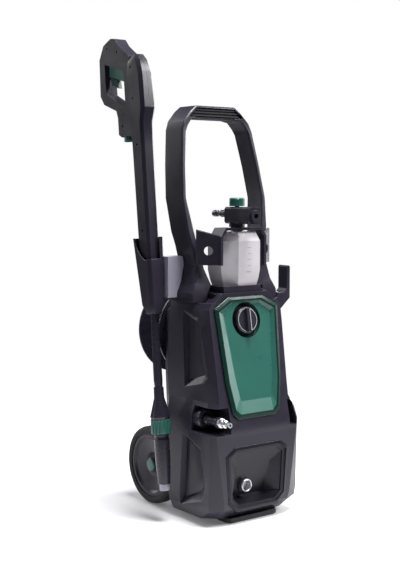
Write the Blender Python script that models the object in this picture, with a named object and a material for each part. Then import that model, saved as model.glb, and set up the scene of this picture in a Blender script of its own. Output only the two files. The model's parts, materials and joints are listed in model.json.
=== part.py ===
"""Upright electric pressure washer: body, handle, gun and lance, foam bottle, wheels and drive."""

import math

import bmesh
import bpy
from mathutils import Matrix, Vector

# Driving dimensions in millimetres, in the washer's own frame: X across, Y to the back, Z up.
MM = 0.001
SHIFT = (15.0, -46.43, 0.0)  # moves the middle of the bounding box onto X = Y = 0
GAP = 0.4  # clearance between pieces that touch
WALL = 3.0  # moulded wall
LEAN_PANEL = math.radians(9.4)
LEAN_HANDLE = math.radians(10.0)
PANEL_O = (0.0, -74.5, 425.0)
HANDLE_Y0, HANDLE_Z0 = -12.0, 608.0
GUN_O = (-163.0, 2.7, 68.0)
GUN_A = Vector((0.0, 0.0995, 0.99504))  # up the lance, from tip to grip
GUN_B = Vector((0.0, 0.99504, -0.0995))  # towards the back of the washer
WHEEL_Y, WHEEL_Z, WHEEL_R = 138.0, 87.5, 87.5
DRUM_Z, DRUM_R = 390.0, 104.0
OUTLET_X, OUTLET_Z = -95.0, 223.0
INLET_X, INLET_Z = -18.0, 76.0
KNOB_Z = 430.0
MOTOR_Y = 2.0
SEAM_LOW = 47.0

MATERIALS = {
    "anthracite": ((0.040, 0.039, 0.050), 0.42, 0.0),
    "black": ((0.018, 0.018, 0.021), 0.5, 0.0),
    "grey": ((0.165, 0.160, 0.190), 0.4, 0.0),
    "green": ((0.012, 0.135, 0.085), 0.32, 0.0),
    "green_dark": ((0.008, 0.075, 0.048), 0.4, 0.0),
    "bottle": ((0.62, 0.59, 0.61), 0.35, 0.0),
    "steel": ((0.62, 0.62, 0.64), 0.28, 1.0),
    "brass": ((0.62, 0.45, 0.2), 0.35, 1.0),
    "aluminium": ((0.55, 0.56, 0.58), 0.45, 1.0),
    "rubber": ((0.022, 0.022, 0.024), 0.8, 0.0),
    "hose": ((0.3, 0.32, 0.34), 0.4, 0.0),
}


def clear_scene():
    for obj in list(bpy.data.objects):
        bpy.data.objects.remove(obj, do_unlink=True)


def material(obj, kind):
    colour, rough, metal = MATERIALS[kind]
    mat = bpy.data.materials.new(obj.name)
    mat.use_nodes = True
    shader = mat.node_tree.nodes["Principled BSDF"]
    shader.inputs["Base Color"].default_value = (*colour, 1.0)
    shader.inputs["Roughness"].default_value = rough
    shader.inputs["Metallic"].default_value = metal
    obj.data.materials.clear()
    obj.data.materials.append(mat)


def solid(name, verts, faces):
    """A closed mesh from points in millimetres, triangulated with its faces out."""
    mesh = bpy.data.meshes.new(name)
    mesh.from_pydata([tuple(c * MM for c in v) for v in verts], [], faces)
    bm = bmesh.new()
    bm.from_mesh(mesh)
    bmesh.ops.triangulate(bm, faces=bm.faces)
    bmesh.ops.recalc_face_normals(bm, faces=bm.faces)
    bm.to_mesh(mesh)
    bm.free()
    obj = bpy.data.objects.new(name, mesh)
    bpy.context.scene.collection.objects.link(obj)
    return obj


def loft(name, rings):
    """A solid through rings that all have the same number of points."""
    n = len(rings[0])
    verts = [p for ring in rings for p in ring]
    faces = [list(range(n))[::-1], [len(verts) - n + i for i in range(n)]]
    for k in range(len(rings) - 1):
        for i in range(n):
            j = (i + 1) % n
            faces.append([k * n + i, k * n + j, (k + 1) * n + j, (k + 1) * n + i])
    return solid(name, verts, faces)


def prism(name, outline, axis, a, b):
    """An outline extruded along an axis; it is given in the two other axes, in X, Y, Z order."""
    place = {
        "x": lambda p, d: (d, p[0], p[1]),
        "y": lambda p, d: (p[0], d, p[1]),
        "z": lambda p, d: (p[0], p[1], d),
    }[axis]
    return loft(name, [[place(p, d) for p in outline] for d in (a, b)])


def box(name, x, y, z):
    return prism(name, [(x[0], y[0]), (x[1], y[0]), (x[1], y[1]), (x[0], y[1])], "z", *z)


def revolve(name, profile, centre, axis, segments=20):
    """A ring or a disc from (radius, distance along the axis) points, listed from end to end."""
    w = Vector(axis).normalized()
    u = w.orthogonal().normalized()
    v = w.cross(u)
    c = Vector(centre)
    closed = profile[0][0] > 0.001 or profile[-1][0] > 0.001
    verts, rows = [], []
    for r, h in profile:
        if r < 0.001:
            rows.append([len(verts)] * segments)
            verts.append(tuple(c + w * h))
            continue
        rows.append([len(verts) + i for i in range(segments)])
        for i in range(segments):
            t = 2 * math.pi * i / segments
            verts.append(tuple(c + w * h + (u * math.cos(t) + v * math.sin(t)) * r))
    pairs = list(zip(rows, rows[1:]))
    if closed:
        pairs.append((rows[-1], rows[0]))
    faces = []
    for lower, upper in pairs:
        for i in range(segments):
            j = (i + 1) % segments
            ids = [lower[i], lower[j], upper[j], upper[i]]
            ids = [q for k, q in enumerate(ids) if q not in ids[:k]]
            if len(ids) > 2:
                faces.append(ids)
    return solid(name, verts, faces)


def disc(name, centre, axis, r, a, b, segments=20):
    return revolve(name, [(0, a), (r, a), (r, b), (0, b)], centre, axis, segments)


def tube(name, centre, axis, r_out, r_in, a, b, segments=20):
    return revolve(name, [(r_out, a), (r_out, b), (r_in, b), (r_in, a)], centre, axis, segments)


def combine(obj, tool, how):
    """Cuts with, or joins, a tool and takes the tool away."""
    mod = obj.modifiers.new("join", "BOOLEAN")
    mod.operation = how
    mod.solver = "EXACT"
    mod.object = tool
    bpy.context.view_layer.update()
    graph = bpy.context.evaluated_depsgraph_get()
    mesh = bpy.data.meshes.new_from_object(obj.evaluated_get(graph))
    obj.modifiers.clear()
    obj.data = mesh
    mesh.name = obj.name
    bpy.data.objects.remove(tool, do_unlink=True)
    return obj


def cut(obj, *tools):
    for tool in tools:
        combine(obj, tool, "DIFFERENCE")
    return obj


def join(obj, *tools):
    for tool in tools:
        combine(obj, tool, "UNION")
    return obj


def smooth(obj, angle=35):
    bpy.context.view_layer.objects.active = obj
    obj.data.shade_smooth()
    obj.data.set_sharp_from_angle(angle=math.radians(angle))


def finish(obj, kind, pivot=None, parent=None, angle=None):
    """Gives a node its material, its place and, when it moves, its origin on its joint axis."""
    material(obj, kind)
    if angle:
        smooth(obj, angle)
    origin = Vector(pivot or (0.0, 0.0, 0.0)) * MM
    obj.data.transform(Matrix.Translation(-origin))
    obj.location = origin + Vector(SHIFT) * MM
    if parent:
        bpy.context.view_layer.update()
        obj.parent = parent
        obj.matrix_parent_inverse = parent.matrix_world.inverted()
    return obj


def mirror(points):
    """Closes a half outline, front to back on +X, with its mirror image."""
    return points + [(-x, *rest) for x, *rest in reversed(points)]


# ---------------------------------------------------------------- body shells

# z: front y, front half width, side half width, corner y, rear y
BODY_RINGS = [
    (12, -88, 80, 112, -58, 42),
    (34, -108, 88, 120, -94, 46),
    (52, -111, 91, 122, -96, 47),
    (188, -111, 110, 121, -101, 47),
    (208, -112, 111, 120, -103, 49),
    (232, -106, 105, 119, -94, 54),
    (262, -100, 95, 107, -74, 59),
    (300, -94, 95, 108, -66, 60),
    (425, -74, 98, 108, -50, 60),
    (455, -69, 98, 107, -46, 60),
    (469, -67, 89, 104, -42, 60),
]


def body_solid(name, inset, top, back):
    rings = []
    for z, yf, xa, xb, yc, yr in BODY_RINGS:
        height = min(max(z, 12 + inset), top)
        half = [(xa - inset * 0.7, yf + inset, height), (xb - inset, yc + inset * 0.4, height)]
        half.append((xb - inset, min(yr, back) - inset, height))
        rings.append(mirror(half))
    rings[-1] = [(x, y, top) for x, y, _ in rings[-1]]
    return loft(name, rings)


def crown(name, inset):
    front = mirror([(62 - inset, 489 - inset), (88 - inset, 464), (88 - inset, 440 + inset)])
    rear = mirror([(74 - inset, 489 - inset), (74 - inset, 440 + inset)])
    obj = prism(name, front, "y", -66.5 + inset, -36 - inset)
    return join(obj, prism(name + "_rear", rear, "y", -50, 52 - inset))


def side_cutter(name, side, outline, floor, depth, x_face, grow):
    """A recess in a side wall whose flanks slope down to a smaller floor, in Y and Z."""
    cy = sum(p[0] for p in outline) / len(outline)
    cz = sum(p[1] for p in outline) / len(outline)

    def ring(points, x):
        out = []
        for y, z in points:
            away = Vector((y - cy, z - cz))
            away = away.normalized() * grow if grow else Vector((0, 0))
            out.append((side * x, y + away.x, z + away.y))
        return out

    inner = ring(floor, x_face - depth - grow)
    face = ring(outline, x_face)
    beyond = ring([(cy + 1.15 * (y - cy), cz + 1.15 * (z - cz)) for y, z in outline], x_face + 8)
    return loft(name, [inner, face, beyond])


UPPER_SIDE = [(14, 452), (-22, 444), (-44, 445), (-84, 306), (6, 284)]
UPPER_FLOOR = [(8, 440), (-18, 432), (-27, 430), (-58, 318), (4, 300)]
LOWER_SIDE = [(-2, 194), (-70, 168), (-88, 70), (-76, 54), (8, 24)]
LOWER_FLOOR = [(-6, 176), (-52, 156), (-66, 84), (-56, 70), (2, 46)]


def pocket(name, side, grow):
    """The notch above the lower side panel that the outlet comes out of."""
    inner = 72.5 if side < 0 else 90
    outer = 150 if side < 0 or grow else 109.6
    y_back = -34 if side < 0 else -45
    xs = (side * (inner - grow), side * outer)
    low, high = 195 - grow, 252 + grow
    outline = [(-150, low), (y_back + grow, low + 4), (y_back + grow, high), (-150, high)]
    return prism(name, outline, "x", min(xs), max(xs))


def shell_blank(name, inset):
    """The whole body's outer form, or its inside at a wall's depth, with every recess in it."""
    obj = body_solid(name, inset, 469 - inset, 60)
    join(obj, crown(name + "_crown", inset))
    for side in (-1, 1):
        cut(obj, side_cutter("upper", side, UPPER_SIDE, UPPER_FLOOR, 9, 108.5, inset))
        cut(obj, side_cutter("lower", side, LOWER_SIDE, LOWER_FLOOR, 13, 122.5, inset))
        cut(obj, pocket("pocket", side, inset))
    return obj


def panel_point(u, v, n):
    """Across, up and out of the leaning front panel's plane."""
    return (
        PANEL_O[0] + u,
        PANEL_O[1] + v * math.sin(LEAN_PANEL) - n * math.cos(LEAN_PANEL),
        PANEL_O[2] + v * math.cos(LEAN_PANEL) + n * math.sin(LEAN_PANEL),
    )


PANEL_HALF = [(47, 56), (87, 33), (76, -124), (65, -190), (50, -203)]
PANEL_IN = [(40, 48), (77, 28), (67, -124), (57, -183), (46, -193)]
FLOOR_HALF = [(37, 40), (66, 24), (50, -100), (43, -158), (38, -163)]
DISH_RIM = [(39, 46.5), (75, 26.5), (65.2, -124), (55.2, -180.5), (45, -190.5)]


def panel_loft(name, levels):
    return loft(name, [[panel_point(u, v, n) for u, v in mirror(half)] for half, n in levels])


def grown(half, by):
    return [(u + by, v + (by if v > 0 else -by)) for u, v in half]


BEZEL_HALF = [(64, 167), (87, 150), (80, 48), (56, 27)]
BEZEL_IN = [(58, 160), (79, 147), (73, 52), (52, 34)]
BEZEL_STEP = [(54, 153), (71, 142), (66, 56), (48, 41)]
BEZEL_FLOOR = [(40, 126), (46, 122), (45, 56), (40, 51)]


def bezel_loft(name, levels):
    rings = []
    for half, y_top, y_low in levels:
        ring = []
        for x, z in mirror(half):
            share = (z - half[-1][1]) / (half[0][1] - half[-1][1])
            ring.append((x, y_low + (y_top - y_low) * share, z))
        rings.append(ring)
    return loft(name, rings)


def front_shell():
    obj = shell_blank("front_shell", 0.0)
    inside = shell_blank("inside", WALL)
    cut(obj, inside)
    cut(obj, box("rear_window", (-72, 72), (20, 80), (32, 448)))
    cut(obj, panel_loft("panel_hole", [(grown(PANEL_HALF, GAP), -30), (grown(PANEL_HALF, GAP), 20)]))
    cut(obj, bezel_loft("bezel_hole", [(grown_z(BEZEL_HALF), -60, -60), (grown_z(BEZEL_HALF), -130, -130)]))
    cut(obj, disc("outlet_hole", (OUTLET_X, 0, OUTLET_Z), (0, 1, 0), 15 + GAP, -60, -20))
    return finish(obj, "anthracite", angle=30)


def grown_z(half, by=GAP):
    middle = (half[0][1] + half[-1][1]) / 2
    return [(x + by, z + (by if z > middle else -by)) for x, z in half]


# y: half widths and heights of the rear cover
REAR_OUT = [(74, 17), (74, 196), (90, 226), (94, 330), (90, 448), (70, 462)]


def rear_shell():
    def form(name, inset, y0, y1):
        start = [(x + 4 - inset, z + (inset if z < 100 else -inset)) for x, z in REAR_OUT]
        start[0] = (start[0][0] - 4, start[0][1])
        start[1] = (start[1][0] - 4, start[1][1])
        end = [(x * 0.94 - inset, z + (8 + inset if z < 100 else -8 - inset)) for x, z in REAR_OUT]
        rings = []
        for y, half in ((y0, start), (y1 - 22, start), (y1, end)):
            rings.append([(x, y, z) for x, z in mirror(half)])
        return loft(name, rings)

    obj = form("rear_shell", 0.0, 60 + GAP, 105.0)
    lower = prism("lower", mirror([(74, 17), (74, 200)]), "y", SEAM_LOW + GAP + 0.6, 64)
    trim = body_solid("trim", -GAP, 469, 60)
    cut(lower, trim)
    join(obj, lower)
    cut(obj, form("hollow", WALL, 40.0, 105.0 - WALL))
    for i in range(7):
        z = 232 + 7 * i
        cut(obj, box("vent", (-55, 55), (95, 115), (z, z + 3)))
    cut(obj, disc("gland_hole", (52, 100, 215), (0, 1, 0), 8 + GAP, -20, 20, 20))
    return finish(obj, "anthracite", angle=30)


def front_panel():
    levels = [(grown(PANEL_HALF, -4), -16), (PANEL_HALF, -9), (PANEL_HALF, 3), (PANEL_IN, 5)]
    obj = panel_loft("front_panel", levels)
    cut(obj, panel_loft("dish", [(FLOOR_HALF, -9.5), (DISH_RIM, 5.2), (DISH_RIM, 20)]))
    centre = panel_point(0, (KNOB_Z - 425) / math.cos(LEAN_PANEL), 0)
    normal = Vector(panel_point(0, 0, 1)) - Vector(panel_point(0, 0, 0))
    cut(obj, revolve("knob_dish", [(0, -12.6), (31, -12.6), (39, -8), (39, 12), (0, 12)], centre, normal, 28))
    cut(obj, disc("knob_hole", centre, normal, 6.5, -20, 0, 16))
    return finish(obj, "green", angle=28)


def knob_frame():
    centre = Vector(panel_point(0, (KNOB_Z - 425) / math.cos(LEAN_PANEL), 0))
    normal = (Vector(panel_point(0, 0, 1)) - Vector(panel_point(0, 0, 0))).normalized()
    return centre, normal


def switch_knob():
    centre, normal = knob_frame()
    profile = [(0, -24), (4.5, -24), (4.5, -10.4), (29, -10.4), (29, -1), (27, 1.5), (0, 2)]
    obj = revolve("switch_knob", profile, centre, normal, 28)
    up = Vector((0, math.sin(LEAN_PANEL), math.cos(LEAN_PANEL)))
    rings = []
    for n in (-3.0, 8.5):
        half = 7.0 if n < 0 else 5.0
        ring = []
        for a, b in ((-half, -25), (half, -25), (half, 25), (-half, 25)):
            ring.append(tuple(centre + Vector((a, 0, 0)) + up * b + normal * n))
        rings.append(ring)
    join(obj, loft("grip_bar", rings))
    return finish(obj, "black", pivot=tuple(centre), angle=30)


def switch_box():
    centre, normal = knob_frame()
    up = Vector((0, math.sin(LEAN_PANEL), math.cos(LEAN_PANEL)))
    rings = []
    for n in (-24.0 - GAP, -37.5):
        ring = [(-20, -16), (20, -16), (20, 16), (-20, 16)]
        rings.append([tuple(centre + Vector((a, 0, 0)) + up * b + normal * n) for a, b in ring])
    return finish(loft("switch_box", rings), "black")


def inlet_bezel():
    levels = [(BEZEL_HALF, -78, -64), (BEZEL_HALF, -112, -111), (BEZEL_IN, -114, -113)]
    obj = bezel_loft("inlet_bezel", levels)
    dish = [(BEZEL_FLOOR, -97, -78), (BEZEL_STEP, -106, -105), (BEZEL_STEP, -109, -109)]
    cut(obj, bezel_loft("dish", dish + [(BEZEL_IN, -110, -110), (BEZEL_IN, -130, -130)]))
    cut(obj, disc("inlet_hole", (INLET_X, 0, INLET_Z), (0, 1, 0), 15 + GAP, -120, -40))
    return finish(obj, "black", angle=25)


def inlet_coupling():
    profile = [(14.8, -50), (14.8, -96), (13.5, -98), (10.5, -98), (10.5, -60), (6, -60), (6, -50)]
    obj = revolve("inlet_coupling", profile, (INLET_X, 0, INLET_Z), (0, 1, 0), 20)
    return finish(obj, "aluminium", angle=30)


def inlet_filter():
    profile = [(10.1, -84), (10.1, -60.5), (8.6, -60.5), (8.6, -82.5), (0, -82.5), (0, -84)]
    return finish(revolve("inlet_filter", profile, (INLET_X, 0, INLET_Z), (0, 1, 0), 16), "bottle")


def base_foot():
    outline = mirror([(60, -95), (66, -84), (66, -62), (54, -56)])
    top = mirror([(63, -99), (70, -86), (70, -60), (56, -53)])
    rings = [[(x, y, 0) for x, y in outline], [(x, y, 3) for x, y in top], [(x, y, 11.6) for x, y in top]]
    obj = loft("base_foot", rings)
    cut(obj, body_solid("trim", -GAP, 469, 60))
    return finish(obj, "rubber", angle=30)


def bottle_tray():
    outline = [(-54, -62), (54, -62), (58, -50), (58, 20), (-58, 20), (-58, -50)]
    obj = prism("bottle_tray", outline, "z", 489 + GAP, 503)
    cut(obj, prism("well", [(-45, -59), (45, -59), (45, 40), (-45, 40)], "z", 499, 520))
    cut(obj, box("slot", (48, 53), (-70, -40), (494, 520)))
    return finish(obj, "anthracite")


# ---------------------------------------------------------------- handle

HANDLE_OUT = [(116, 470), (115, 489), (105, 512), (98, 548), (103, 588), (110, 618), (115.5, 690)]
HANDLE_OUT += [(108, 762), (97, 836), (89, 856), (69, 877), (53, 889)]
HANDLE_INN = [(75, 470), (76, 489), (61, 505), (76, 540), (86, 588), (92, 618), (103.5, 690)]
HANDLE_INN += [(96.5, 760), (85.5, 830), (79, 843), (68, 857), (50, 861)]


def handle_front(z):
    return HANDLE_Y0 + (z - HANDLE_Z0) * math.tan(LEAN_HANDLE)


def handle_frame():
    rings = []
    right = list(zip(HANDLE_OUT, HANDLE_INN))
    both = right + [((-a[0], a[1]), (-b[0], b[1])) for a, b in reversed(right)]
    for (xo, zo), (xi, zi) in both:
        y = handle_front((zo + zi) / 2)
        deep = 62 if zo > 500 else 96
        y = y if zo > 500 else -35
        bevel = 3.0 if zo > 500 else 1.0
        dx, dz = xo - xi, zo - zi
        size = math.hypot(dx, dz)
        ux, uz = dx / size * bevel, dz / size * bevel
        ring = [(xi, y + bevel, zi), (xi + ux, y, zi + uz), (xo - ux, y, zo - uz), (xo, y + bevel, zo)]
        ring += [(xo, y + deep, zo), (xi, y + deep * 0.8, zi)]
        rings.append(ring)
    obj = loft("handle_frame", rings)
    y = handle_front(875)
    groove = [(-74, 864), (74, 864), (66, 874), (51, 884.5), (-51, 884.5), (-66, 874)]
    cut(obj, prism("groove", groove, "y", y - 10, y + 8))
    return finish(obj, "anthracite", angle=28)


def grip_insert():
    y = handle_front(875)
    outline = [(-72.5, 864.8), (72.5, 864.8), (65, 873.4), (50.6, 883.6), (-50.6, 883.6), (-65, 873.4)]
    obj = prism("grip_insert", outline, "y", y + 4.5, y + 8 - GAP)
    for half, z in ((66, 866.5), (60, 873), (53, 879)):
        ridge = [(-half, z), (half, z), (half - 2, z + 2.4), (2 - half, z + 2.4)]
        join(obj, prism("ridge", ridge, "y", y + 1.5, y + 6))
    return finish(obj, "rubber")


def bottle_bracket():
    outer = [(-62, 548), (-62, 609), (-50, 627), (50, 627), (62, 609), (62, 548)]
    inner = [(-57, 540), (-57, 607), (-47, 621.5), (47, 621.5), (57, 607), (57, 540)]
    obj = prism("bottle_bracket", outer, "y", -63, -52.5)
    cut(obj, prism("opening", inner, "y", -80, 0))
    for side in (-1, 1):
        hood = [(57, 590), (57, 607), (47, 621.5), (22, 621.5), (22, 627), (50, 627), (62, 609), (62, 590)]
        join(obj, prism("hood", [(side * x, z) for x, z in hood], "y", -60, -24))
        plan = [(58, -56), (62, -58), (66, -54), (100, -29), (100, -24.5), (97.5, -24.5)]
        plan += [(64, -50), (58, -53)]
        wing = prism("wing", [(side * x, y) for x, y in plan], "z", 548.5, 624)
        above = [(-70, 604), (-20, 626), (-20, 640), (-70, 640)]
        cut(wing, prism("slope", above, "x", side * 50, side * 110))
        cut(wing, disc("hole", (side * 80, -42, 579), (side * 0.59, -0.81, 0), 9.5, -20, 20, 24))
        join(obj, wing)
    return finish(obj, "anthracite")


# ---------------------------------------------------------------- foam bottle

BOTTLE_PLAN = [(47, -60), (-14, -61.5), (-46, -42), (-47, 4), (47, 4)]


def bottle_rings(inset, bottom, top):
    rings = []
    for z, k in ((bottom, 0.84), (bottom + 16, 0.93), (bottom + 36, 1.0), (598, 1.0), (top, 0.80)):
        ring = []
        for x, y in BOTTLE_PLAN:
            dx, dy = x * k, (y + 34) * k
            length = math.hypot(dx, dy)
            ring.append((dx - dx / length * inset, -34 + dy - dy / length * inset, z))
        rings.append(ring)
    return rings


def bottle():
    obj = loft("bottle", bottle_rings(0.0, 499.5 + GAP, 618))
    join(obj, disc("neck", (0, -38, 0), (0, 0, 1), 11.5, 610, 631))
    inside = loft("inside", bottle_rings(2.0, 502.5, 615.5))
    join(inside, disc("bore", (0, -38, 0), (0, 0, 1), 9.4, 612, 640))
    cut(obj, inside)
    return finish(obj, "bottle", angle=40)


def foam_body():
    outline = [(-17, 639), (-13, 635), (13, 635), (17, 639), (17, 667), (13, 671), (-13, 671), (-17, 667)]
    obj = prism("foam_body", outline, "y", -98, -16)
    cut(obj, disc("seat", (0, -38, 0), (0, 0, 1), 5 + GAP, 662, 680, 16))
    cut(obj, disc("tip_seat", (0, -16, 656), (0, 1, 0), 7 + GAP, -12, 10, 16))
    cut(obj, disc("port", (0, -98, 652), (0, 1, 0), 9.2, -10, 7, 16))
    neck = revolve("neck", [(11.9, 619.5), (14, 619.5), (14, 628), (17, 628), (17, 637), (11.9, 637)],
                   (0, -38, 0), (0, 0, 1))
    plug = tube("plug", (0, -38, 0), (0, 0, 1), 9, 3.4, 622, 637)
    join(obj, neck, plug)
    return finish(obj, "black", angle=35)


def spray_ring():
    profile = [(12.5, -103), (12.5, -98.4), (8.6, -98.4), (8.6, -92), (5.5, -92), (5.5, -103)]
    obj = revolve("spray_ring", profile, (0, 0, 652), (0, 1, 0), 20)
    return finish(obj, "grey", angle=35)


def foam_tip():
    profile = [(0, -26), (7, -26), (7, -12), (10.5, -12), (10.5, -2), (8, 0), (8, 14), (5.5, 17)]
    profile += [(5.5, 26), (7.2, 28), (7.2, 40), (5.5, 44), (0, 44)]
    obj = revolve("foam_tip", profile, (0, 0, 656), (0, 1, 0), 20)
    return finish(obj, "black", angle=35)


def dosing_cap():
    profile = [(0, 663), (5, 663), (5, 672.5), (16.5, 672.5), (16.5, 688), (14.5, 690.5), (0, 690.5)]
    obj = revolve("dosing_cap", profile, (0, -38, 0), (0, 0, 1), 24)
    return finish(obj, "green", pivot=(0, -38, 672.5), angle=35)


def suction_tube():
    obj = tube("suction_tube", (0, -38, 0), (0, 0, 1), 3, 2, 506, 634.6, 14)
    return finish(obj, "hose")


# ---------------------------------------------------------------- gun, lance and holster

def gun_point(x, b, h):
    p = Vector(GUN_O) + GUN_B * b + GUN_A * h
    return (p.x + x, p.y, p.z)


def gun_prism(name, outline, x0, x1):
    """An outline in the gun's own back and up directions, extruded across it."""
    return loft(name, [[gun_point(x, b, h) for b, h in outline] for x in (x0, x1)])


def gun_revolve(name, profile, segments=20):
    return revolve(name, profile, GUN_O, GUN_A, segments)


def gun_ring(h, hx, b0, b1, bevel):
    pts = [(-hx, b0 + bevel), (-hx + bevel, b0), (hx - bevel, b0), (hx, b0 + bevel)]
    pts += [(hx, b1 - bevel), (hx - bevel, b1), (-hx + bevel, b1), (-hx, b1 - bevel)]
    return [gun_point(x, b, h) for x, b in pts]


LOOP_OUT = [(17, 905), (17, 931), (55, 961), (68, 978), (84, 981), (114, 971), (133, 943), (137, 863)]
LOOP_OUT += [(124, 843), (77, 822), (72, 806), (72, 769), (60, 762), (20, 762)]
LOOP_IN = [(40, 903), (113, 930), (114, 864), (77, 843), (40, 826)]


def gun_solid(name, inset):
    stations = [(470, 14, -14, 17, 5), (500, 15, -16, 20, 5), (540, 16, -17, 24, 6), (740, 16, -18, 26, 6)]
    stations += [(786, 17, -19, 28, 6), (815, 19, -30, 30, 7), (889, 18, -26, 30, 7)]
    stations += [(918, 16, -17, 26, 7), (931, 12, -8, 18, 6)]
    rings = []
    for h, hx, b0, b1, bevel in stations:
        height = min(max(h, 470 + inset), 931 - inset)
        rings.append(gun_ring(height, hx - inset, b0 + inset, b1 - inset, max(bevel - inset * 0.4, 1)))
    return loft(name, rings)


def gun_whole(name):
    obj = gun_solid(name, 0.0)
    join(obj, gun_prism("loop", LOOP_OUT, -15, 15))
    cut(obj, gun_prism("opening", LOOP_IN, -30, 30))
    cut(obj, gun_solid("hollow", 3.0))
    trigger_bay = [(39, 880), (39, 934), (66, 952), (112, 955), (114, 925), (112, 896)]
    cut(obj, gun_prism("bay", trigger_bay, -9, 9))
    cut(obj, gun_prism("lane", [(15, 872), (45, 872), (45, 906), (15, 906)], -9, 9))
    cut(obj, revolve("hose_bore", [(0, 750), (12.6, 750), (12.6, 806), (0, 806)],
                     gun_point(0, 54, 0), GUN_A, 24))
    cut(obj, gun_prism("valve_bay", [(15, 780), (45, 780), (45, 850), (15, 850)], -9, 9))
    cut(obj, gun_revolve("mouth", [(0, 460), (8.4, 460), (8.4, 480), (0, 480)], 24))
    return obj


def gun_half(name, side):
    obj = gun_whole(name)
    keep = (GAP / 2, 60) if side > 0 else (-60, -GAP / 2)
    block = gun_prism("keep", [(-90, 440), (200, 440), (200, 1010), (-90, 1010)], *keep)
    combine(obj, block, "INTERSECT")
    if side < 0:
        for b, h in SCREWS:
            cut(obj, revolve("screw", [(0, -40), (2.6, -40), (2.6, -13), (0, -13)],
                             gun_point(0, b, h), (1, 0, 0), 12))
    return obj


SCREWS = [(100, 962), (62, 948), (10, 905), (6, 838), (55, 786), (4, 740), (2, 556)]


def gun_shell_left():
    return finish(gun_half("gun_shell_left", -1), "anthracite", angle=30)


def gun_shell_right(parent):
    return finish(gun_half("gun_shell_right", 1), "anthracite", parent=parent, angle=30)


def gun_trigger(parent):
    outline = [(42, 902), (60, 915), (90, 928), (106, 932), (108, 902), (70, 889), (46, 880), (42, 884)]
    obj = gun_prism("gun_trigger", outline, -7.5, 7.5)
    join(obj, gun_prism("arm", [(22, 876), (46, 880), (46, 900), (22, 890)], -7.5, 7.5))
    return finish(obj, "green", pivot=gun_point(0, 28, 883), parent=parent)


def trigger_lock(parent):
    outline = [(78, 872), (104, 884), (106, 898), (103, 899.5), (80, 890)]
    obj = gun_prism("trigger_lock", outline, -5, 5)
    return finish(obj, "green_dark", pivot=gun_point(0, 104, 894), parent=parent)


def hose_release(parent):
    place = gun_point(0, 54, 0)
    profile = [(12.0, 753), (12.0, 772), (9.4, 772), (9.4, 753)]
    obj = revolve("hose_release", profile, place, GUN_A, 24)
    return finish(obj, "green", pivot=gun_point(0, 54, 763), parent=parent, angle=35)


def hose_socket(parent):
    place = gun_point(0, 54, 0)
    profile = [(8.8, 756), (8.8, 776), (12, 776), (12, 804), (0, 804), (0, 790), (5, 790), (5, 756)]
    obj = revolve("hose_socket", profile, place, GUN_A, 24)
    return finish(obj, "brass", parent=parent, angle=35)


def gun_valve(parent):
    obj = gun_prism("gun_valve", [(-9, 786), (30, 786), (30, 842), (-9, 842)], -8, 8)
    join(obj, revolve("stem", [(0, 790), (5, 790), (5, 800), (0, 800)], gun_point(0, 34, 0), GUN_A, 14))
    return finish(obj, "brass", parent=parent, angle=35)


def gun_pipe(parent):
    obj = gun_revolve("gun_pipe", [(6, 482.5), (6, 785.5), (4, 785.5), (4, 482.5)], 16)
    return finish(obj, "steel", parent=parent, angle=40)


def lance_tube(parent):
    profile = [(3.5, 222), (8.6, 222), (9.6, 236), (7.9, 370), (7.9, 482), (3.5, 482)]
    return finish(gun_revolve("lance_tube", profile, 16), "black", parent=parent, angle=40)


def nozzle_head(parent):
    profile = [(3.5, 153), (20.5, 153), (22, 158), (11.2, 198), (10.6, 221), (3.5, 221)]
    obj = gun_revolve("nozzle_head", profile, 24)
    return finish(obj, "black", parent=parent, angle=35)


def nozzle_ring(parent):
    obj = gun_revolve("nozzle_ring", [(12, 122), (21.6, 122), (21.6, 152.6), (12, 152.6)], 24)
    return finish(obj, "green", pivot=gun_point(0, 0, 137), parent=parent, angle=30)


def nozzle_barrel(parent):
    profile = [(4, 14), (13, 14), (16, 60), (16.4, 110), (14.6, 113), (14.6, 117), (16.4, 118), (16.4, 121.6)]
    profile += [(11.6, 121.6), (11.6, 150), (4, 150)]
    return finish(gun_revolve("nozzle_barrel", profile, 24), "black", parent=parent, angle=30)


def nozzle_tip(parent):
    profile = [(0, 3), (8, 3), (8, 0), (10.8, 0), (10.8, 13.6), (0, 13.6)]
    return finish(gun_revolve("nozzle_tip", profile, 16), "grey", parent=parent, angle=30)


def holster():
    rings = []
    for h, hx, b0, b1 in ((378, 13.5, -15, 16), (398, 18, -20, 23), (480, 21, -23, 30), (541, 22, -24, 37)):
        rings.append(gun_ring(h, hx, b0, b1, 6))
    obj = loft("holster", rings)
    inner = []
    for h, hx, b0, b1 in ((370, 9.5, -10, 11), (382, 10, -11, 12), (400, 15, -17, 19)):
        inner.append(gun_ring(h, hx, b0, b1, 5))
    for h, hx, b0, b1 in ((480, 18, -20, 27), (550, 19, -21, 34)):
        inner.append(gun_ring(h, hx, b0, b1, 5))
    cut(obj, loft("inside", inner))
    scoop = [(-60, 500), (-8, 492), (10, 505), (24, 528), (30, 560), (-60, 560)]
    cut(obj, gun_prism("scoop", scoop, -60, 8))
    return finish(obj, "anthracite", angle=32)


def holster_bracket():
    outline = [(-140.5, 478), (-140.5, 566), (-101.0, 566), (-98.6, 548), (-105.8, 511)]
    outline += [(-116.6, 488), (-116.9, 478)]
    obj = prism("holster_bracket", outline, "y", 20, 46)
    return finish(obj, "grey")


def cable_hook():
    outline = [(108 + GAP, 437), (122, 437), (155, 466), (155, 536), (152, 539), (147, 539), (145, 536)]
    outline += [(145, 487), (138, 480), (118, 480), (116, 469), (108 + GAP, 469)]
    obj = prism("cable_hook", outline, "y", -37, -7)
    return finish(obj, "anthracite")


# ---------------------------------------------------------------- outlet, drum, gland

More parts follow.
